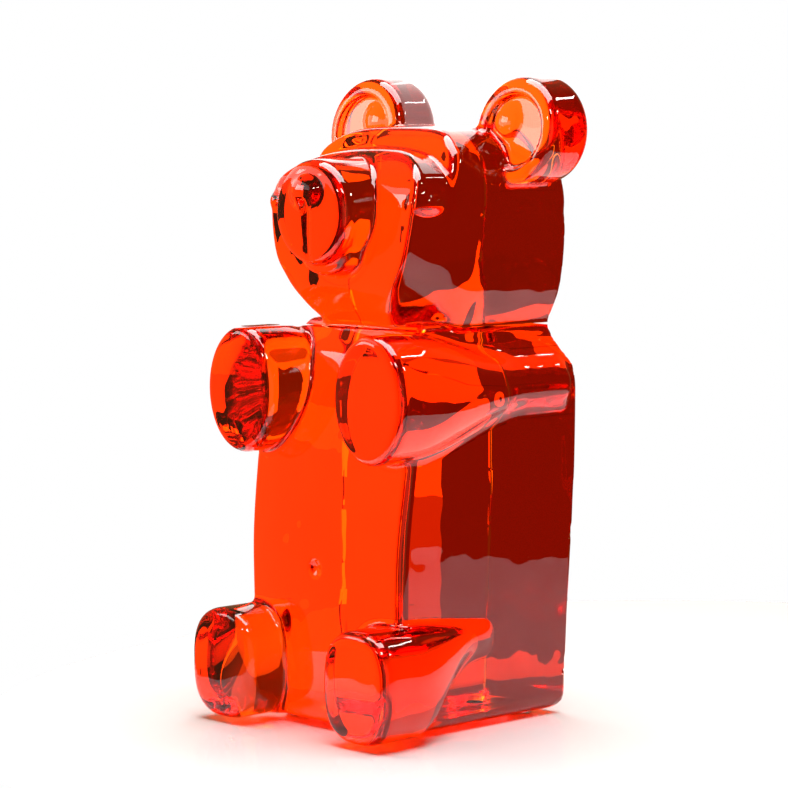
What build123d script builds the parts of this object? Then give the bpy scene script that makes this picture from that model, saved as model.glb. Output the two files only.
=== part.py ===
from build123d import *
import os

os.makedirs("parts", exist_ok=True)

# A seated bear, cast in clear resin as nine blocks that are bonded along its creases.
# Millimetres. The bear faces -Y and its own left is +X. The origin is under its middle.

# Overall
HEIGHT = 250.0           # floor to the top of the ears
DEPTH = 115.2            # soles to back
BACK = DEPTH / 2         # y of the flat back
SOLES = -DEPTH / 2       # y of the flat soles
BOND = 0.1               # adhesive gap round every bonded block

# Bumper pads
PAD_HEIGHT = 1.5
PAD_RADIUS = 5.0
PAD_SPACING_X = 58.0
PAD_SPACING_Y = 66.0
PAD_MIDDLE_Y = 9.0

# Torso
NECK_Z = 153.5           # height of the crease between torso and head
TORSO_FRONT_CORNER = 4.0
TORSO_BACK_CORNER = 2.0
TORSO_BASE_EDGE = 1.5    # radius round the base
NAVEL_Y = -43.2
NAVEL_Z = 63.0
NAVEL_RADIUS = 3.2

# Each torso section: height, half width, front at the sides, front in the middle, back
TORSO_SECTIONS = [
    (PAD_HEIGHT, 41.6, -34.6, -37.6, BACK - 4.2),
    (30.0, 42.2, -36.3, -40.8, BACK - 3.2),
    (63.0, 42.9, -36.6, -41.6, BACK - 1.8),
    (100.0, 43.6, -33.6, -37.6, BACK - 0.2),
    (128.0, 43.8, -27.6, -30.1, BACK),
    (142.0, 40.4, -23.6, -25.6, BACK - 2.8),
    (NECK_Z, 34.0, -17.8, -19.8, BACK - 5.6),
]

# Head
HEAD_TOP = 232.0
HEAD_TOP_CORNER = 24.0   # radius of the two upper corners, seen from the front
HEAD_EDGE = 2.5          # radius of the upright edges
EYE_X = 38.4
EYE_Y = -20.0
EYE_Z = 202.0
EYE_RADII = (3.6, 8.0, 3.8)

# Each head section: height, half width of the face, half width, front, end of the slanted sides, back
HEAD_SECTIONS = [
    (NECK_Z + BOND, 18.5, 34.0, -17.0, -1.0, BACK - 5.5),
    (162.0, 24.0, 37.0, -24.0, -1.0, BACK - 4.3),
    (172.0, 30.5, 40.0, -28.5, -1.0, BACK - 3.6),
    (186.0, 36.5, 41.0, -29.4, -1.0, BACK - 3.6),
    (200.0, 38.0, 41.0, -28.5, -1.0, BACK - 4.2),
    (212.0, 37.0, 40.5, -24.0, -1.0, BACK - 5.4),
    (222.0, 36.0, 39.5, -11.0, 4.0, BACK - 6.8),
    (HEAD_TOP, 34.0, 38.0, 4.0, 14.0, BACK - 9.5),
]

# Arms: oval bolsters along Y, narrowing towards the back
ARM_FRONT_Y = -48.9
ARM_BACK_Y = 52.4
ARM_FRONT = (36.0, 129.6, 19.0, 24.5)    # x, z, half width, half height
ARM_BACK = (31.5, 130.8, 16.8, 12.5)
ARM_END_EDGE = 4.0

# Legs: squarer bolsters with flat soles, tapering to the back
LEG_BACK_Y = 11.4
LEG_FRONT = (37.6, 23.0, 18.0, 21.5, 13.0)    # the same, and the corner radius
LEG_BACK = (32.6, 31.0, 13.0, 11.5, 8.0)
LEG_END_EDGE = 5.0

# Muzzle
MUZZLE_Z = 198.7
MUZZLE_RADIUS = 20.0
MUZZLE_FRONT_Y = -46.2
MUZZLE_ROOT_Y = -8.0
MUZZLE_DOME = 62.0       # radius of its slightly domed end
MUZZLE_EDGE = 3.0
NOSE_Y = -44.6
NOSE_Z = 206.0
NOSE_RADII = (8.5, 4.5, 6.5)
GROOVE_Z = 193.0         # the groove under the nose
GROOVE_LENGTH = 16.0
GROOVE_RADIUS = 1.6
CHIN_Z = 184.0
CHIN_RADII = (14.0, 9.5)
CHIN_FRONT_Y = -38.5

# Ears
EAR_X = 41.4
EAR_RADIUS = 20.5
EAR_Z = HEIGHT - EAR_RADIUS
EAR_FRONT_Y = 22.9       # at mid height, as the front leans back
EAR_LEAN = 8.5           # degrees
EAR_BACK_Y = 46.0
EAR_EDGE = 3.5
EAR_DISH_RADIUS = 13.5
EAR_DISH_DEPTH = 4.0
EAR_BOSS_RADIUS = 7.0


def torso_block():
    """The torso's whole form: level sections with a flat back, flat sides and a full front."""
    with BuildPart() as block:
        for z, half_width, side_front, middle_front, back in TORSO_SECTIONS:
            left_front, right_front = (half_width, side_front), (-half_width, side_front)
            with BuildSketch(Plane.XY.offset(z)) as section:
                with BuildLine():
                    Polyline(right_front, (-half_width, back), (half_width, back), left_front)
                    ThreePointArc(left_front, (0, middle_front), right_front)
                make_face()
                fillet(section.vertices().group_by(Axis.Y)[0], TORSO_FRONT_CORNER)
                fillet(section.vertices().group_by(Axis.Y)[-1], TORSO_BACK_CORNER)
        loft()
        fillet(block.faces().sort_by(Axis.Z)[0].edges(), TORSO_BASE_EDGE)
    return block.part


def head_block():
    """The head's form without its arched top: a flat face, slanted sides and a flat back."""
    with BuildPart() as block:
        for z, face_half, half_width, front, side_end, back in HEAD_SECTIONS:
            outline = [
                (-face_half, front),
                (face_half, front),
                (half_width, side_end),
                (half_width, back),
                (-half_width, back),
                (-half_width, side_end),
            ]
            with BuildSketch(Plane.XY.offset(z)) as section:
                with BuildLine():
                    Polyline(outline, close=True)
                make_face()
                fillet(section.vertices(), HEAD_EDGE)
        loft()
    return block.part


def ellipsoid(radii):
    """A solid ellipsoid round the origin."""
    with BuildPart() as solid:
        Sphere(1.0)
        scale(by=radii)
    return solid.part


# Limbs. Grown by the bond gap, the same bolster cuts the limb's seat in the torso.
def arm_bolster(side, grow):
    """An arm's whole oval bolster, on the side given by the sign of x."""
    with BuildPart() as bolster:
        for y, shape in ((ARM_FRONT_Y - grow, ARM_FRONT), (ARM_BACK_Y + grow, ARM_BACK)):
            x, z, half_width, half_height = shape
            with BuildSketch(Plane.XZ.offset(-y)):
                with Locations((side * x, z)):
                    Ellipse(half_width + grow, half_height + grow)
        loft()
    return bolster.part


def leg_bolster(side, grow):
    """A leg's whole rounded bolster, on the side given by the sign of x."""
    with BuildPart() as bolster:
        for y, shape in ((SOLES - grow, LEG_FRONT), (LEG_BACK_Y + grow, LEG_BACK)):
            x, z, half_width, half_height, corner = shape
            with BuildSketch(Plane.XZ.offset(-y)):
                with Locations((side * x, z)):
                    RectangleRounded(2 * (half_width + grow), 2 * (half_height + grow), corner + grow)
        loft()
    return bolster.part


# Limbs and ears, one of each for each side
for side, side_name in ((1, "left"), (-1, "right")):
    with BuildPart() as arm:
        add(arm_bolster(side, 0))
        fillet(arm.faces().sort_by(Axis.Y)[0].edges(), ARM_END_EDGE)
    arm.part.label = side_name + "_arm"
    export_step(arm.part, "parts/" + arm.part.label + ".step")

    with BuildPart() as leg:
        add(leg_bolster(side, 0))
        fillet(leg.faces().sort_by(Axis.Y)[0].edges(), LEG_END_EDGE)
    leg.part.label = side_name + "_leg"
    export_step(leg.part, "parts/" + leg.part.label + ".step")

    ear_front = Plane((side * EAR_X, EAR_FRONT_Y, EAR_Z), x_dir=(1, 0, 0), z_dir=(0, -1, 0))
    ear_front = ear_front.rotated((EAR_LEAN, 0, 0))
    with BuildPart() as ear:
        with BuildSketch(Plane.XZ.offset(-EAR_BACK_Y)):
            with Locations((side * EAR_X, EAR_Z)):
                Circle(EAR_RADIUS)
        extrude(amount=EAR_BACK_Y)
        split(bisect_by=ear_front, keep=Keep.BOTTOM)
        fillet(ear.faces().sort_by(Axis.Y)[0].edges(), EAR_EDGE)
        fillet(ear.faces().sort_by(Axis.Y)[-1].edges(), EAR_EDGE)
        with BuildSketch(ear_front):
            Circle(EAR_DISH_RADIUS)
            Circle(EAR_BOSS_RADIUS, mode=Mode.SUBTRACT)
        extrude(amount=-EAR_DISH_DEPTH, mode=Mode.SUBTRACT)
    ear.part.label = side_name + "_ear"
    export_step(ear.part, "parts/" + ear.part.label + ".step")

# Muzzle: a short round snout with a nose and a chin, on a plug that goes back into the head
with BuildPart() as muzzle:
    with BuildSketch(Plane.XZ.offset(-MUZZLE_ROOT_Y)):
        with Locations((0, MUZZLE_Z)):
            Circle(MUZZLE_RADIUS)
    extrude(amount=MUZZLE_ROOT_Y - MUZZLE_FRONT_Y + MUZZLE_EDGE)
    with Locations((0, MUZZLE_FRONT_Y + MUZZLE_DOME, MUZZLE_Z)):
        Sphere(MUZZLE_DOME, mode=Mode.INTERSECT)
    fillet(muzzle.edges().group_by(Axis.Y)[0], MUZZLE_EDGE)
    with BuildSketch(Plane.XZ.offset(-MUZZLE_ROOT_Y)):
        with Locations((0, CHIN_Z)):
            Ellipse(*CHIN_RADII)
    extrude(amount=MUZZLE_ROOT_Y - CHIN_FRONT_Y)
    with Locations((0, MUZZLE_FRONT_Y, GROOVE_Z)):
        Cylinder(GROOVE_RADIUS, GROOVE_LENGTH, mode=Mode.SUBTRACT)
    with Locations((0, NOSE_Y, NOSE_Z)):
        add(ellipsoid(NOSE_RADII))
muzzle.part.label = "muzzle"
export_step(muzzle.part, "parts/muzzle.step")

# Head: an arched block with two eyes, and seats for the muzzle and the ears
with BuildPart() as head:
    add(head_block())
    with BuildSketch(Plane.XZ):
        with Locations((0, HEAD_TOP / 2)):
            RectangleRounded(2 * (EYE_X + HEAD_EDGE), HEAD_TOP, HEAD_TOP_CORNER)
    extrude(amount=DEPTH, both=True, mode=Mode.INTERSECT)
    with Locations((-EYE_X, EYE_Y, EYE_Z), (EYE_X, EYE_Y, EYE_Z)):
        add(ellipsoid(EYE_RADII))
    with BuildSketch(Plane.XZ.offset(-MUZZLE_ROOT_Y - BOND)):
        with Locations((0, MUZZLE_Z)):
            Circle(MUZZLE_RADIUS + BOND)
        with Locations((0, CHIN_Z)):
            Ellipse(CHIN_RADII[0] + BOND, CHIN_RADII[1] + BOND)
    extrude(amount=DEPTH, mode=Mode.SUBTRACT)
    with BuildSketch(Plane.XZ.offset(-EAR_BACK_Y - BOND)):
        with Locations((-EAR_X, EAR_Z), (EAR_X, EAR_Z)):
            Circle(EAR_RADIUS + BOND)
    extrude(amount=DEPTH, mode=Mode.SUBTRACT)
head.part.label = "head"
export_step(head.part, "parts/head.step")

# Torso: a tall block with a navel, a rounded base and seats for the limbs
with BuildPart() as torso:
    add(torso_block())
    with Locations((0, NAVEL_Y, NAVEL_Z)):
        Sphere(NAVEL_RADIUS, mode=Mode.SUBTRACT)
    for side in (-1, 1):
        add(arm_bolster(side, BOND), mode=Mode.SUBTRACT)
        add(leg_bolster(side, BOND), mode=Mode.SUBTRACT)
torso.part.label = "torso"
export_step(torso.part, "parts/torso.step")

# Bumper pads under the base
with BuildPart() as bumper_pads:
    with BuildSketch():
        with Locations((0, PAD_MIDDLE_Y)):
            with GridLocations(PAD_SPACING_X, PAD_SPACING_Y, 2, 2):
                Circle(PAD_RADIUS)
    extrude(amount=PAD_HEIGHT)
bumper_pads.part.label = "bumper_pads"
export_step(bumper_pads.part, "parts/bumper_pads.step")
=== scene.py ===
import math

import bpy
import numpy as np
import openvdb
from mathutils import Matrix, Vector


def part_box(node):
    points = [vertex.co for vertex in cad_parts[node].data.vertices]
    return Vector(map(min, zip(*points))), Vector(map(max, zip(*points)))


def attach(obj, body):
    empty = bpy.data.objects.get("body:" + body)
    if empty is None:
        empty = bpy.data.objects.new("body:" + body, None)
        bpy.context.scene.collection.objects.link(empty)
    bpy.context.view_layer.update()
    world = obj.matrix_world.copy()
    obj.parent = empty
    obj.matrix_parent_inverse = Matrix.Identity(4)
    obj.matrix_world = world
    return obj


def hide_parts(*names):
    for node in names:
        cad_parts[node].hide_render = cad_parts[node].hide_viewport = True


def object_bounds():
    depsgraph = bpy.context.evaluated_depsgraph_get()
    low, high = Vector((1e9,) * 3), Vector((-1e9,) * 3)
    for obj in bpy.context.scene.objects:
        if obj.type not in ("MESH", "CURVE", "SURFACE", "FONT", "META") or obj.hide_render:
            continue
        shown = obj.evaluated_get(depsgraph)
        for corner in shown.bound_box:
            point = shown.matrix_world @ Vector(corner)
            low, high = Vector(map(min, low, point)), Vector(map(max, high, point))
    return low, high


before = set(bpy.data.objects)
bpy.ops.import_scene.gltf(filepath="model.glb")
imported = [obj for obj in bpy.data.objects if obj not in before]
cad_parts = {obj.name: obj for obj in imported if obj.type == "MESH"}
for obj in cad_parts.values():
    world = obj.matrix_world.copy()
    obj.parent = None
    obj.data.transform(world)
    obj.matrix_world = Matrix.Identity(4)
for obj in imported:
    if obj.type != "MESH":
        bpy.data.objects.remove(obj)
cad_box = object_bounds()

# A seated bear cast in clear orange-red resin. Its skin is one distance function, in millimetres
# in the row frame, which is meshed once and then cut into the nine bonded castings.

MM = 0.001
GRID_STEP = 1.1    # spacing of the sampling grid
GRID_MARGIN = 5.0
SNAP_ROUNDS = 3                           # how often the mesh is moved onto the exact surface
SNAP_STEP = 0.5                           # the furthest that one round moves a point
SEAM = 2.8                                # how far outside its limb's plain shape a bond runs
GLUE = 0.06                               # thickness of the adhesive between two castings
BOND_DEPTH = 0.12                         # a face deeper inside the bear than this is a bond face
REACH = 90                                # half width of a cutter that has to pass the whole bear
PAD_RADIUS = 5.0
WHITE = (1, 1, 1, 1)


def node_box(name):
    """Lowest and highest corner of a CAD node, in millimetres."""
    low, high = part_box(name)
    return np.array(low) / MM, np.array(high) / MM


torso_low, torso_high = node_box("torso")
head_low, head_high = node_box("head")
muzzle_low, muzzle_high = node_box("muzzle")
ear_low, ear_high = node_box("left_ear")
arm_low, arm_high = node_box("left_arm")
leg_low, leg_high = node_box("left_leg")

SWELL = 0.6              # how far the CAD torso swells between its sections
BACK = torso_high[1] - SWELL
BASE = torso_low[2]
TORSO_HALF = torso_high[0] - SWELL
NECK = head_low[2]
HEAD_HALF = head_high[0] - 1   # the eyes stand proud of the head's sides
HEAD_BACK = head_high[1]
HEAD_TOP = head_high[2]
NOSE_TIP = muzzle_low[1]
MUZZLE_RADIUS = (muzzle_high[0] - muzzle_low[0]) / 2
MUZZLE_Z = muzzle_high[2] - MUZZLE_RADIUS
EAR_RADIUS = (ear_high[0] - ear_low[0]) / 2
EAR_X = ear_high[0] - EAR_RADIUS
EAR_Z = ear_high[2] - EAR_RADIUS
EAR_FRONT, EAR_BACK = ear_low[1], ear_high[1]
ARM_FRONT, ARM_BACK, ARM_OUT = arm_low[1], arm_high[1], arm_high[0] + 0.3
LEG_FRONT, LEG_BACK, LEG_OUT = leg_low[1], leg_high[1], leg_high[0] + 0.8

# Profiles of the torso and the head up the bear: (height, millimetres)
TORSO_SIDE_INSET = [(0, 2.2), (30, 1.6), (63, 0.9), (100, 0.2), (128, 0), (137, 1), (143, 4),
                    (149, 8.2), (154, 9.8), (160, 9.8)]
TORSO_BACK_INSET = [(0, 4.2), (30, 3.2), (63, 1.8), (100, 0.2), (128, 0), (137, 0.6), (145, 4.1),
                    (154, 5.6), (160, 5.6)]
TORSO_DEPTH = [(0, 92.2), (30, 93.9), (63, 94.2), (100, 91.2), (128, 85.2), (142, 81.2),
               (154, 75.2), (160, 74.2)]
BELLY = [(0, 3), (30, 4.5), (62, 5), (100, 4), (128, 2.5), (142, 2), (160, 2)]
HEAD_SIDE_INSET = [(148, 8), (154, 7.4), (162, 4.7), (172, 1.9), (184, 0.3), (192, 0), (205, 0),
                   (218, 1), (233, 3)]
HEAD_BACK_INSET = [(148, 2.6), (156, 1.8), (168, 0), (190, 0), (210, 1.5), (224, 3.5), (233, 6.5)]
FACE_DEPTH = [(148, 66.6), (154, 71), (162, 78), (172, 82.5), (182, 83.5), (200, 82.5), (210, 79.5),
              (217, 73.6), (222, 65.6), (228, 54.6)]
FACE_HALF = [(148, 14), (158, 21), (165, 26), (172, 30.5), (180, 35.5), (190, 38.5), (200, 40.5),
             (212, 41), (233, 41)]
BROW_DEPTH = [(180, 63.6), (205, 64.1), (218, 60.1), (226, 55.6), (233, 47.6)]


def smooth_min(a, b, radius):
    """The union of two distances, with a fillet of about that radius."""
    share = np.clip(0.5 + 0.5 * (b - a) / radius, 0, 1)
    return b * (1 - share) + a * share - radius * share * (1 - share)


def smooth_max(a, b, radius):
    """The overlap of two distances, with a rounded edge."""
    return -smooth_min(-a, -b, radius)


def ease(value, start, end):
    """From 0 at start to 1 at end, level at both."""
    t = np.clip((value - start) / (end - start), 0, 1)
    return t * t * (3 - 2 * t)


def between(value, low, high):
    """Distance to a slab from low to high."""
    return np.maximum(low - value, value - high)


def curve(height, points):
    """A smooth curve that passes through (height, value) points without overshooting them."""
    at = np.array([p[0] for p in points], float)
    value = np.array([p[1] for p in points], float)
    slope = np.diff(value) / np.diff(at)
    tangent = np.zeros(len(at))
    product = slope[1:] * slope[:-1]
    tangent[1:-1] = np.where(product > 0, 2 * product / (slope[1:] + slope[:-1] + 1e-12), 0)
    tangent[0], tangent[-1] = slope[0], slope[-1]
    height = np.clip(height, at[0], at[-1])
    i = np.clip(np.searchsorted(at, height) - 1, 0, len(at) - 2)
    run = at[i + 1] - at[i]
    t = (height - at[i]) / run
    return (
        value[i] * (2 * t**3 - 3 * t**2 + 1)
        + run * tangent[i] * (t**3 - 2 * t**2 + t)
        + value[i + 1] * (3 * t**2 - 2 * t**3)
        + run * tangent[i + 1] * (t**3 - t**2)
    )


def ellipse(dx, dz, half_x, half_z, power=2.0):
    """Distance to a superellipse, squarer as its power rises."""
    ax, az = np.abs(dx) / half_x, np.abs(dz) / half_z
    size = (ax**power + az**power + 1e-12) ** (1 / power)
    slope = np.hypot(ax ** (power - 1) / half_x, az ** (power - 1) / half_z) * size ** (1 - power)
    return (size - 1) / (slope + 1e-9)


def ball(x, y, z, radii, scale):
    """Distance to an ellipsoid round the origin, in the units of its smallest radius."""
    return (np.sqrt((x / radii[0]) ** 2 + (y / radii[1]) ** 2 + (z / radii[2]) ** 2) - 1) * scale


def block(x, y, half_x, low_y, high_y, front_radius, back_radius):
    """Distance to a rectangle in plan with its own corner radius in front and behind."""
    middle, half_y = (low_y + high_y) / 2, (high_y - low_y) / 2
    radius = np.where(y > middle, back_radius, front_radius)
    qx = np.abs(x) - half_x + radius
    qy = np.abs(y - middle) - half_y + radius
    outside = np.hypot(np.maximum(qx, 0), np.maximum(qy, 0))
    return outside + np.minimum(np.maximum(qx, qy), 0) - radius


def torso(x, y, z):
    half = TORSO_HALF - curve(z, TORSO_SIDE_INSET)
    back = BACK - curve(z, TORSO_BACK_INSET)
    belly = curve(z, BELLY) * (1 - np.minimum(np.abs(x) / half, 1) ** 2)
    front = BACK - curve(z, TORSO_DEPTH) - belly
    body = block(x, y, half, front, back, front_radius=4.0, back_radius=0.5)
    return smooth_max(body, between(z, BASE, NECK + 3), 7)


def head(x, y, z):
    across = np.abs(x)
    half = HEAD_HALF - curve(z, HEAD_SIDE_INSET)
    back = HEAD_BACK - curve(z, HEAD_BACK_INSET)
    front = HEAD_BACK - curve(z, FACE_DEPTH)
    face_half = np.minimum(curve(z, FACE_HALF), half - 0.5)
    # The face is flat, and the sides run back and out from its edge
    side_y = HEAD_BACK - 55
    run, out = side_y - front, half - face_half
    side = ((across - face_half) * run - (y - front) * out) / np.hypot(run, out)
    plan = smooth_max(front - y, smooth_max(side, across - half, 4), 3)
    plan = smooth_max(plan, y - back, 0.8)
    arch = ellipse(x, z - 190, HEAD_HALF + 4.5, HEAD_TOP - 199.5, 2.6)
    face = np.where(z < 190, plan, smooth_max(plan, arch, 3))
    # The brow and the crown are set back behind the face
    brow = HEAD_BACK - curve(z, BROW_DEPTH)
    crown = block(x, y, half - 0.6, brow, back, front_radius=5.0, back_radius=0.6)
    dome = ellipse(x, z - 192, HEAD_HALF + 3.5, HEAD_TOP - 191.5, 2.8)
    dome = np.where(z < 192, across - HEAD_HALF - 3.5, dome)
    crown = smooth_max(smooth_max(crown, dome, 3), between(z, 198, HEAD_TOP), 5)
    skull = smooth_max(smooth_min(face, crown, 2), NECK - 2.5 - z, 3)
    eye = ball(across - HEAD_HALF + 2.6, y + 20, z - 202, (3.6, 8, 3.8), 3.6)
    return smooth_min(skull, eye, 2)


def ear(x, y, z):
    dx, dz = np.abs(x) - EAR_X, z - EAR_Z
    front = EAR_FRONT + 2.5 + 0.15 * dz     # the front leans back towards the top
    rim = ellipse(dx, dz, EAR_RADIUS, EAR_RADIUS)
    disc = smooth_max(rim, np.maximum(front - y, y - EAR_BACK), 5)
    dish = smooth_max(ellipse(dx - 0.5, dz + 0.5, 14, 14), y - front - 3.0, 2)
    disc = smooth_max(disc, -dish, 2)
    # A low boss in the dish, on the side near the head
    boss = ball(dx + 5, y - front - 3.5, dz - 4, (6, 2.6, 6), 2.6)
    return smooth_min(disc, boss, 1.5)


def muzzle(x, y, z):
    radius = np.hypot(x, z - MUZZLE_Z)
    end = NOSE_TIP + 3.2 + 0.004 * radius**2
    snout = smooth_max(radius - MUZZLE_RADIUS, np.maximum(end - y, y + 8), 5)
    nose = ball(x, y - NOSE_TIP - 4.5, z - MUZZLE_Z - 7.3, (8.5, 4.5, 6.5), 4.5)
    snout = smooth_min(snout, nose, 2)
    groove = ball(x, y - NOSE_TIP - 1.9, 0, (1.6, 2.4, 1), 1.6)
    snout = smooth_max(snout, -np.where(z < MUZZLE_Z + 5.3, groove, 5.0), 1.5)
    chin = ball(x, 0, z - MUZZLE_Z + 14.7, (14, 1, 9.5), 9.5)
    chin = smooth_max(chin, between(y, NOSE_TIP + 10.6, -8), 4)
    return smooth_min(snout, chin, 2)


def arm_section(y):
    """Middle x and z and half width and height of an arm at y: it thins towards the back."""
    t = ease(y, ARM_FRONT + 15.3, ARM_BACK - 24)
    return ARM_OUT - 19 - 4.5 * t, 129.6 + 1.2 * t, 19 - 2.2 * t, 24.5 - 12 * t, 2.0


def leg_section(y):
    """The same for a leg, which is squarer."""
    t = ease(y, LEG_FRONT + 18, LEG_BACK + 1)
    rise = ease(y, LEG_FRONT + 24, LEG_BACK - 8)
    return LEG_OUT - 18 - 6.5 * t, 23 + 12.5 * rise, 18 - 6.5 * t, 21.5 - 14 * rise, 2.6


ARM = (arm_section, ARM_FRONT, ARM_BACK)
LEG = (leg_section, LEG_FRONT, LEG_BACK)


def limb(x, y, z, section, front, back, edge):
    """Distance to a pair of limbs, whose ends are rounded by edge."""
    middle_x, middle_z, half_x, half_z, power = section(y)
    bolster = ellipse(np.abs(x) - middle_x, z - middle_z, half_x, half_z, power)
    return smooth_max(bolster, between(y, front, back), edge)


def bear(x, y, z):
    """Distance to the whole bear's skin, negative inside."""
    body = smooth_min(torso(x, y, z), limb(x, y, z, *ARM, edge=5), 3)
    body = smooth_min(body, limb(x, y, z, *LEG, edge=6), 3)
    navel = ball(x, y - BACK + 100.8, z - 63, (3.2, 3.2, 3.2), 3.2)
    body = smooth_max(body, -navel, 1.5)
    top = smooth_min(head(x, y, z), ear(x, y, z), 3)
    top = smooth_min(top, muzzle(x, y, z), 2)
    return smooth_min(body, top, 1.5)


def gradient(points):
    """The direction in which the distance to the bear grows, not yet of unit length."""
    step = 0.05
    parts = []
    for axis in np.eye(3) * step:
        parts.append((bear(*(points + axis).T) - bear(*(points - axis).T)) / (2 * step))
    return np.stack(parts, 1)


def unit(vectors):
    return vectors / np.maximum(np.linalg.norm(vectors, axis=1), 1e-9)[:, None]


def skin_mesh():
    """The bear's whole skin: level set of the distance, with its points moved onto the surface."""
    low, high = np.array(cad_box[0]) / MM - GRID_MARGIN, np.array(cad_box[1]) / MM + GRID_MARGIN
    counts = np.ceil((high - low) / GRID_STEP).astype(int) + 1
    axes = [low[i] + GRID_STEP * np.arange(counts[i]) for i in range(3)]
    grid = openvdb.FloatGrid(background=GRID_MARGIN)
    grid.copyFromArray(bear(*np.meshgrid(*axes, indexing="ij")).astype(np.float32))
    points, triangles, quads = grid.convertToPolygons(isovalue=0.0, adaptivity=0.0)
    points = points * GRID_STEP + low
    for _ in range(SNAP_ROUNDS):
        slope = gradient(points)
        length = np.linalg.norm(slope, axis=1)
        step = np.clip(bear(*points.T) / np.maximum(length, 0.3), -SNAP_STEP, SNAP_STEP)
        points = points - unit(slope) * step[:, None]
    mesh = bpy.data.meshes.new("skin")
    mesh.from_pydata((points * MM).tolist(), [], quads.tolist() + triangles.tolist())
    return mesh


def tube(sections, count=96):
    """A closed tube along Y through superellipse sections (y, x, z, half x, half z, power)."""
    points, faces = [], []
    for y, mx, mz, half_x, half_z, power in sections:
        for i in range(count):
            c, s = math.cos(math.tau * i / count), math.sin(math.tau * i / count)
            px = mx + half_x * math.copysign(abs(c) ** (2 / power), c)
            pz = mz + half_z * math.copysign(abs(s) ** (2 / power), s)
            points.append((px * MM, y * MM, pz * MM))
    for ring in range(len(sections) - 1):
        a, b = ring * count, (ring + 1) * count
        for i in range(count):
            j = (i + 1) % count
            faces.append((a + i, b + i, b + j, a + j))
    faces.append(tuple(range(count)))
    faces.append(tuple(range(len(points) - count, len(points)))[::-1])
    mesh = bpy.data.meshes.new("cutter")
    mesh.from_pydata(points, [], faces)
    return mesh


def limb_cutter(side, section, front, back, grow):
    """A limb's plain bolster, grown, and long enough in front to take its whole end."""
    stations = [front - 12, *np.linspace(front, back, 13), back + grow]
    rows = []
    for y in stations:
        mx, mz, half_x, half_z, power = section(y)
        rows.append((y, side * mx, mz, half_x + grow, half_z + grow, power))
    return tube(rows)


def ear_cutter(side, grow):
    radius = EAR_RADIUS + grow
    ends = (EAR_FRONT - grow, EAR_BACK + grow)
    return tube([(y, side * EAR_X, EAR_Z, radius, radius, 2) for y in ends])


def muzzle_cutter(grow):
    half_x, half_z = MUZZLE_RADIUS + grow, MUZZLE_RADIUS + 1.6 + 1.5 * grow
    return tube([(y, 0, MUZZLE_Z - 2.4, half_x, half_z, 2) for y in (NOSE_TIP - 12, -12 + grow)])


def slab(low_z, high_z):
    """A wide level block between two heights, for parting the head from the torso."""
    square = 60
    section = (0, (low_z + high_z) / 2, REACH, (high_z - low_z) / 2, square)
    return tube([(y, *section) for y in (-REACH, REACH)], 8)


def new_object(name, mesh):
    obj = bpy.data.objects.new(name, mesh)
    bpy.context.scene.collection.objects.link(obj)
    return obj


def cut(mesh, cutter, operation):
    """The mesh with the cutter's solid kept (INTERSECT) or taken away (DIFFERENCE)."""
    body, tool = new_object("body", mesh), new_object("tool", cutter)
    modifier = body.modifiers.new("cut", "BOOLEAN")
    modifier.solver = "MANIFOLD"
    modifier.operation = operation
    modifier.object = tool
    bpy.context.view_layer.update()
    evaluated = body.evaluated_get(bpy.context.evaluated_depsgraph_get())
    result = bpy.data.meshes.new_from_object(evaluated)
    for obj in (body, tool):
        bpy.data.objects.remove(obj)
    return result


def read(items, name, width=1, kind=np.float32):
    """One property of every vertex, corner or face, as an array."""
    values = np.empty(len(items) * width, kind)
    items.foreach_get(name, values)
    return values.reshape(-1, width) if width > 1 else values


def finish_casting(node, mesh, material):
    """Marks the bond faces, gives the outer skin its exact normals and puts the piece in place."""
    for layer in list(mesh.attributes):
        if not layer.is_required and not layer.is_internal:
            mesh.attributes.remove(layer)
    centres = read(mesh.polygons, "center", 3).astype(float) / MM
    bond = bear(*centres.T) < -BOND_DEPTH
    layer = mesh.attributes.new("bond", "FLOAT", "FACE")
    layer.data.foreach_set("value", bond.astype(np.float32))
    mesh.polygons.foreach_set("use_smooth", np.ones(len(mesh.polygons), bool))
    # A corner of a bond face has that face's own normal, any other the slope of the distance
    corner = read(mesh.loops, "vertex_index", kind=int)
    sizes = read(mesh.polygons, "loop_total", kind=int)
    flat = np.repeat(read(mesh.polygons, "normal", 3), sizes, axis=0)
    slope = unit(gradient(read(mesh.vertices, "co", 3).astype(float) / MM))
    normals = np.where(np.repeat(bond, sizes)[:, None], flat, slope[corner])
    mesh.normals_split_custom_set(normals.tolist())
    mesh.materials.clear()
    mesh.materials.append(material)
    obj = new_object(node + "_casting", mesh)
    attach(obj, "root")
    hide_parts(node)


def build_bear(material):
    """Cuts the skin into its nine castings, each a closed solid that meets the next at a bond."""
    whole = skin_mesh()
    upper = cut(whole.copy(), slab(NECK, 400), "INTERSECT")
    lower = cut(whole, slab(-60, NECK - GLUE), "INTERSECT")
    for side, name in ((1, "left"), (-1, "right")):
        for part, shape in (("arm", ARM), ("leg", LEG)):
            piece = cut(lower.copy(), limb_cutter(side, *shape, SEAM), "INTERSECT")
            lower = cut(lower, limb_cutter(side, *shape, SEAM + GLUE), "DIFFERENCE")
            finish_casting(f"{name}_{part}", piece, material)
        piece = cut(upper.copy(), ear_cutter(side, SEAM), "INTERSECT")
        upper = cut(upper, ear_cutter(side, SEAM + GLUE), "DIFFERENCE")
        finish_casting(name + "_ear", piece, material)
    piece = cut(upper.copy(), muzzle_cutter(SEAM), "INTERSECT")
    upper = cut(upper, muzzle_cutter(SEAM + GLUE), "DIFFERENCE")
    finish_casting("muzzle", piece, material)
    finish_casting("head", upper, material)
    finish_casting("torso", lower, material)


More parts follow.
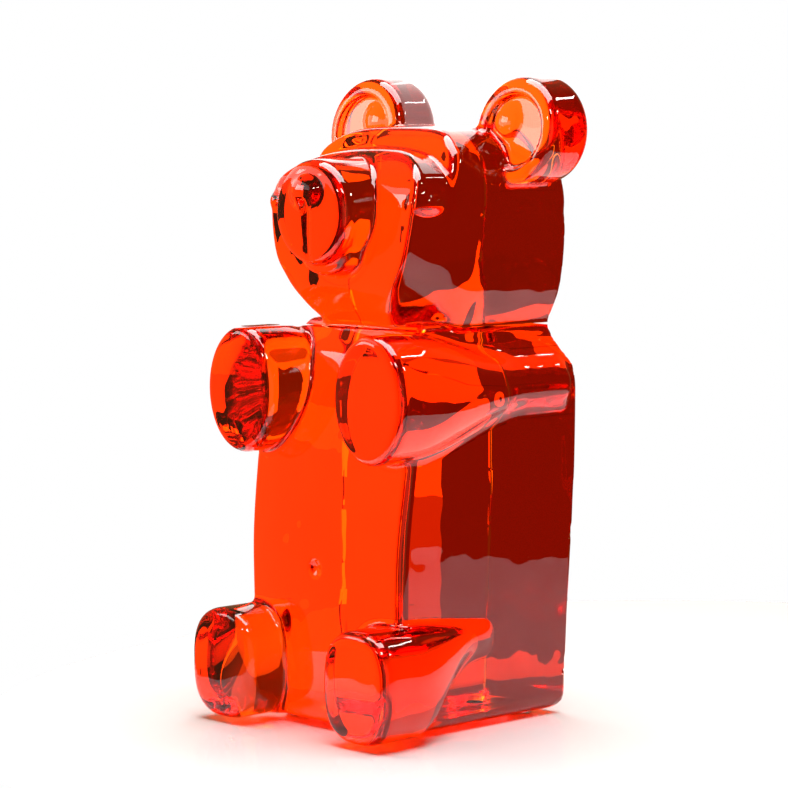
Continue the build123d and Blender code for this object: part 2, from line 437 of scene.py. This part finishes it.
class Nodes:
    """A short way to add, set and link the nodes of one material."""

    def __init__(self, tree):
        self.tree = tree

    def add(self, kind, inputs=None, **settings):
        node = self.tree.nodes.new(kind)
        for key, value in settings.items():
            setattr(node, key, value)
        return self.set(node, inputs or {})

    def set(self, node, inputs):
        for key, value in inputs.items():
            if isinstance(value, bpy.types.NodeSocket):
                self.tree.links.new(value, node.inputs[key])
            else:
                node.inputs[key].default_value = value
        return node

    def noise(self, scale, detail=2.0):
        """Noise fixed to the object, with features about 1/scale metres across."""
        place = self.add("ShaderNodeNewGeometry").outputs["Position"]
        inputs = {"Vector": place, "Scale": scale, "Detail": detail}
        return self.add("ShaderNodeTexNoise", inputs).outputs["Fac"]

    def ramp(self, value, from_min=0.0, from_max=1.0, to_min=0.0, to_max=1.0, **settings):
        inputs = {"Value": value, "From Min": from_min, "From Max": from_max,
                  "To Min": to_min, "To Max": to_max}
        return self.add("ShaderNodeMapRange", inputs, **settings).outputs[0]

    def blend(self, share, first, second):
        """A colour between the two, by share."""
        inputs = {"Factor": share, "A": first, "B": second}
        return self.add("ShaderNodeMix", inputs, data_type="RGBA").outputs["Result"]


def new_material(name):
    """A material, its nodes and its Principled shader."""
    mat = bpy.data.materials.new(name)
    mat.use_nodes = True
    return mat, Nodes(mat.node_tree), mat.node_tree.nodes["Principled BSDF"]


def resin_material():
    """Clear orange-red resin. A bond face neither tints nor bends light, as the resin runs on."""
    mat, nodes, shader = new_material("tinted resin")
    bond = nodes.add("ShaderNodeAttribute", attribute_name="bond").outputs["Fac"]
    skin = nodes.add("ShaderNodeMath", {0: 1.0, 1: bond}, operation="SUBTRACT").outputs[0]
    # Polished skin: slow waves, and small patches a little less clear than the rest
    tint = nodes.blend(nodes.noise(34.0), (1.0, 0.075, 0.004, 1), (1.0, 0.100, 0.008, 1))
    haze = nodes.ramp(nodes.noise(900.0, 3.0), 0.62, 0.78, 0.0, 0.08)
    bend = nodes.add("ShaderNodeMath", {0: skin, 1: 0.5, 2: 1.0}, operation="MULTIPLY_ADD")
    rough = nodes.add("ShaderNodeMath", {0: haze, 1: skin}, operation="MULTIPLY")
    waves = {"Height": nodes.noise(55.0, 1.0), "Strength": skin, "Distance": 0.3 * MM}
    nodes.set(shader, {
        "Transmission Weight": 1.0,
        "Base Color": nodes.blend(skin, WHITE, tint),
        "IOR": bend.outputs[0],
        "Roughness": rough.outputs[0],
        "Normal": nodes.add("ShaderNodeBump", waves).outputs[0],
    })
    # Light is lost on its way through the casting, green and blue most
    loss = (1.0, 14.0, 60.0)
    density = max(loss) / 0.999
    body = nodes.add("ShaderNodeVolumeAbsorption", {"Density": density})
    body.inputs["Color"].default_value = (*(1 - part / density for part in loss), 1)
    nodes.set(mat.node_tree.nodes["Material Output"], {"Volume": body.outputs[0]})
    return mat


def rubber_material():
    """Clear soft rubber, slightly cloudy, with a fine grain."""
    mat, nodes, shader = new_material("clear rubber")
    grain = nodes.noise(1500.0, 3.0)
    bumps = {"Height": grain, "Strength": 0.3, "Distance": 0.1 * MM}
    nodes.set(shader, {
        "Transmission Weight": 0.9,
        "IOR": 1.42,
        "Base Color": nodes.blend(grain, (0.92, 0.92, 0.90, 1), (0.82, 0.82, 0.80, 1)),
        "Roughness": nodes.ramp(grain, to_min=0.25, to_max=0.5),
        "Normal": nodes.add("ShaderNodeBump", bumps).outputs[0],
    })
    return mat


def build_pads(material):
    """Four domed discs under the base, flat above where they are stuck on."""
    low, high = node_box("bumper_pads")
    radius, height = PAD_RADIUS, high[2] - low[2]
    # The rim from the table up, as shares of the radius and of the height
    profile = [(0.55, 0.0), (0.8, 0.1), (0.93, 0.3), (1.0, 0.6), (1.0, 1.0)]
    count = 48
    points, faces = [], []
    for x in (low[0] + radius, high[0] - radius):
        for y in (low[1] + radius, high[1] - radius):
            start = len(points)
            for r, h in profile:
                for i in range(count):
                    angle = math.tau * i / count
                    px, py = x + radius * r * math.cos(angle), y + radius * r * math.sin(angle)
                    points.append((px * MM, py * MM, (low[2] + h * height) * MM))
            for a in range(start, len(points) - count, count):
                for i in range(count):
                    j = (i + 1) % count
                    faces.append((a + i, a + j, a + count + j, a + count + i))
            faces.append(tuple(range(start, start + count))[::-1])
            faces.append(tuple(range(len(points) - count, len(points))))
    mesh = bpy.data.meshes.new("bumper_pads")
    mesh.from_pydata(points, [], faces)
    mesh.materials.append(material)
    obj = new_object("domed_pads", mesh)
    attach(obj, "root")
    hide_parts("bumper_pads")


def floor_material():
    """Satin white, with painted shade: a touch darker away from the bear, where the resin mirrors
    it.
    """
    mat, nodes, shader = new_material("white table")
    place = nodes.add("ShaderNodeNewGeometry").outputs["Position"]
    reach = nodes.add("ShaderNodeVectorMath", {0: place}, operation="LENGTH").outputs["Value"]
    # painted shade: the table's colour darkens away from the bear, to dim its reflection in the
    # resin
    painted_far_shade = nodes.ramp(reach, 0.13, 0.26, interpolation_type="SMOOTHSTEP")
    nodes.set(shader, {
        "IOR": 1.45,
        "Base Color": nodes.blend(painted_far_shade, (0.88, 0.88, 0.88, 1), (0.86, 0.86, 0.86, 1)),
        "Roughness": nodes.ramp(nodes.noise(60.0), to_min=0.10, to_max=0.14),
    })
    return mat


def build_floor():
    """A round white table top, no wider than the glow that it should throw into the casting."""
    radius, middle, count = 0.29, 0.09, 96
    turns = np.linspace(0, math.tau, count + 1)[:-1]
    ring = [(middle + radius * math.cos(a), middle + radius * math.sin(a), 0) for a in turns]
    mesh = bpy.data.meshes.new("table")
    mesh.from_pydata(ring, [], [tuple(range(count))])
    mesh.materials.append(floor_material())
    new_object("table", mesh)


def area_light(name, place, target, width, height, radiance):
    """A soft box that faces its target and is never seen directly."""
    light = bpy.data.lights.new(name, "AREA")
    light.shape = "RECTANGLE"
    light.size, light.size_y = width, height
    light.energy = radiance * width * height * math.pi
    obj = bpy.data.objects.new(name, light)
    bpy.context.scene.collection.objects.link(obj)
    obj.location = place
    obj.rotation_euler = (Vector(target) - Vector(place)).to_track_quat("-Z", "Y").to_euler()
    obj.visible_camera = False
    return obj


def build_lights():
    # Glowing panels close behind the bear light its front through the resin. Each is
    # (low x, high x, low z, high z, y, radiance).
    panels = [
        (-0.047, 0.012, 0, 0.150, 0.0595, 2.4),
        (-0.0475, -0.017, 0.161, 0.188, 0.0595, 2.4),
        (-0.0475, -0.008, 0.188, 0.208, 0.0595, 2.4),
        (-0.050, 0.035, 0.208, 0.30, 0.0595, 2.6),
        (-0.14, -0.052, 0.214, 0.30, 0.071, 2.6),
        (-0.165, -0.085, 0, 0.078, 0.071, 0.55),
        (-0.165, -0.085, 0.078, 0.15, 0.071, 2.0),
    ]
    for low_x, high_x, low_z, high_z, y, radiance in panels:
        x, z = (low_x + high_x) / 2, (low_z + high_z) / 2
        area_light("panel", (x, y, z), (x, 0, z), high_x - low_x, high_z - low_z, radiance)
    area_light("top", (0, 0.1, 1.1), (0, 0.1, 0), 1.0, 0.8, 11.2)
    # These show only as highlights on the polished skin
    middle = (0, 0, 0.15)
    shine = [
        area_light("strip", (0.30, 0.95, 1.05), middle, 0.28, 0.03, 22),
        area_light("key", (0.9, -0.5, 1.1), middle, 0.22, 0.22, 35),
        area_light("front glint", (0.25, -1.1, 0.8), middle, 0.10, 0.10, 45),
        area_light("back glint", (0.9, 0.8, 0.9), middle, 0.10, 0.10, 45),
        area_light("ear light", (-0.33, -0.32, 0.34), (0.01, 0.02, 0.232), 0.26, 0.12, 5.5),
    ]
    for obj in shine:
        obj.visible_transmission = False
        obj.visible_diffuse = False
    glow = area_light("ear glow", (-0.085, -0.06, 0.245), (0.03, 0.05, 0.245), 0.22, 0.038, 1.5)
    glow.visible_diffuse = False


def build_world():
    """White behind the bear. Round it, a dim room that is lighter on two sides."""
    world = bpy.data.worlds.new("studio")
    bpy.context.scene.world = world
    world.use_nodes = True
    world.node_tree.nodes.clear()
    nodes = Nodes(world.node_tree)
    around = nodes.add("ShaderNodeTexCoord").outputs["Generated"]
    rays = nodes.add("ShaderNodeLightPath").outputs
    # The room's strength is a low level plus a lobe in each direction, from cosine start to end
    strength = 0.03
    for direction, start, end, peak in [
        ((-1, 0, 0), -0.3, 0.4, 0.21),
        ((0.85, -0.53, 0), 0.85, 0.95, 0.6),
    ]:
        aim = tuple(Vector(direction).normalized())
        dot = nodes.add("ShaderNodeVectorMath", {0: around, 1: aim}, operation="DOT_PRODUCT")
        cosine = dot.outputs["Value"]
        lobe = nodes.ramp(cosine, start, end, to_max=peak, interpolation_type="SMOOTHSTEP")
        strength = nodes.add("ShaderNodeMath", {0: lobe, 1: strength}).outputs[0]
    colour = (1.0, 0.6, 0.25, 1)
    room = nodes.add("ShaderNodeBackground", {"Color": colour, "Strength": strength}).outputs[0]
    backdrop = nodes.add("ShaderNodeBackground", {"Color": WHITE}).outputs[0]
    choice = {0: rays["Is Camera Ray"], 1: room, 2: backdrop}
    mix = nodes.add("ShaderNodeMixShader", choice).outputs[0]
    nodes.add("ShaderNodeOutputWorld", {0: mix})


def build_camera():
    """The photograph's view, from the bear's left front and a little above."""
    azimuth, elevation, distance = math.radians(46), math.radians(5.2), 1.192
    target = Vector((0, 0.00065, 0.127))
    level = math.cos(elevation)
    back = Vector((math.sin(azimuth) * level, -math.cos(azimuth) * level, math.sin(elevation)))
    right = Vector((math.cos(azimuth), math.sin(azimuth), 0))
    turn = Matrix((right, back.cross(right), back)).transposed()
    data = bpy.data.cameras.new("camera")
    data.sensor_width = 36
    data.lens = 139.8
    camera = bpy.data.objects.new("camera", data)
    bpy.context.scene.collection.objects.link(camera)
    camera.matrix_world = Matrix.Translation(target + back * distance) @ turn.to_4x4()
    bpy.context.scene.camera = camera


def render_settings():
    scene = bpy.context.scene
    scene.view_settings.view_transform = "Standard"
    scene.cycles.max_bounces = 32
    scene.cycles.transmission_bounces = 32
    scene.cycles.glossy_bounces = 16
    scene.cycles.transparent_max_bounces = 32
    scene.cycles.diffuse_bounces = 3
    scene.cycles.blur_glossy = 0.3
    scene.cycles.sample_clamp_indirect = 6


build_bear(resin_material())
build_pads(rubber_material())
build_floor()
build_lights()
build_world()
build_camera()
render_settings()
